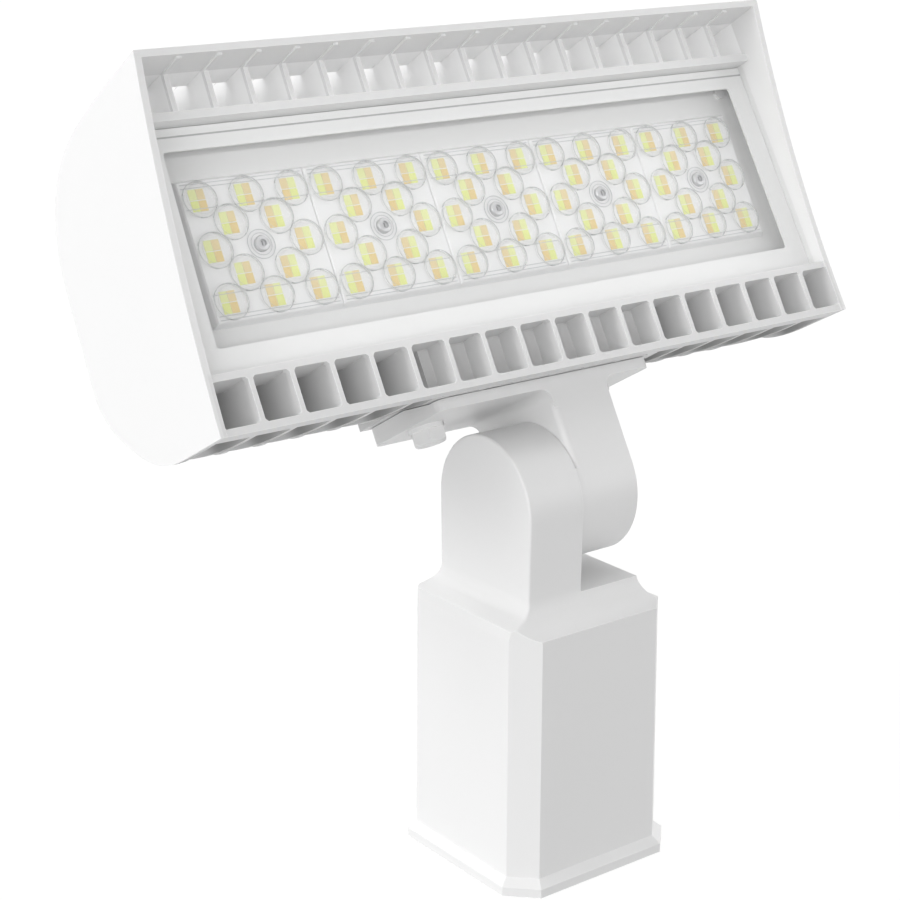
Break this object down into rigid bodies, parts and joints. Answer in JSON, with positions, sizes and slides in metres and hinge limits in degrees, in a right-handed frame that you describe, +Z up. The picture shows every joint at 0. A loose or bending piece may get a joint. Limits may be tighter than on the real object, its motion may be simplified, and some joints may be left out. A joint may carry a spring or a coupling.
{
  "type": "floodlight",
  "caption": "Wide finned LED floodlight head with hood and front glass, on a tilting knuckle over a square slip fitter for a pole tenon.",
  "frame": {"origin": "centre of the slip fitter's mouth, at the foot of the fitter", "axes": "+Z up along the pole, -Y towards where the head shines, +X to the knuckle bolt's head"},
  "size_m": [0.3366, 0.1627, 0.3604],
  "materials": {
    "cast_white": "white powder coat on die-cast aluminium",
    "white_bolt": "white painted steel",
    "steel": "zinc plated",
    "dark_steel": "zinc plated",
    "rubber": "black silicone rubber",
    "glass": "clear tempered glass",
    "tray": "white painted sheet aluminium",
    "board": "white solder mask",
    "lens": "clear moulded acrylic over a white board",
    "chip_yellow": "greenish yellow phosphor",
    "chip_orange": "orange phosphor",
    "driver_case": "black painted aluminium",
    "terminal": "white nylon",
    "lead": "black insulation"
  },
  "bodies": {
    "fitter": {"slip_fitter": "cast_white", "set_screws": "dark_steel", "knuckle_bolt": "steel", "knuckle_washer": "steel", "spring_washer": "steel"},
    "head": {"arm": "cast_white", "flange_gasket": "rubber", "flange_bolts": "white_bolt", "flange_washers": "steel", "housing": "cast_white", "bezel": "cast_white", "glass": "glass", "chamber_seal": "rubber", "lamp_tray": "tray", "tray_screws": "steel", "led_board_1": "board", "led_board_2": "board", "led_board_3": "board", "led_board_4": "board", "led_board_5": "board", "lens_plate_1": "lens", "lens_plate_2": "lens", "lens_plate_3": "lens", "lens_plate_4": "lens", "lens_plate_5": "lens", "lens_screws": "steel", "led_chips_left": "chip_yellow", "led_chips_right": "chip_orange", "driver": "driver_case", "terminal_block": "terminal", "supply_leads": "lead", "grommet": "rubber"}
  },
  "joints": [
    {"name": "head_tilt", "type": "hinge", "parent": "fitter", "child": "head", "pos_m": [0, 0, 0.1641], "axis": [1, 0, 0], "range_deg": [-60, 90]}
  ]
}
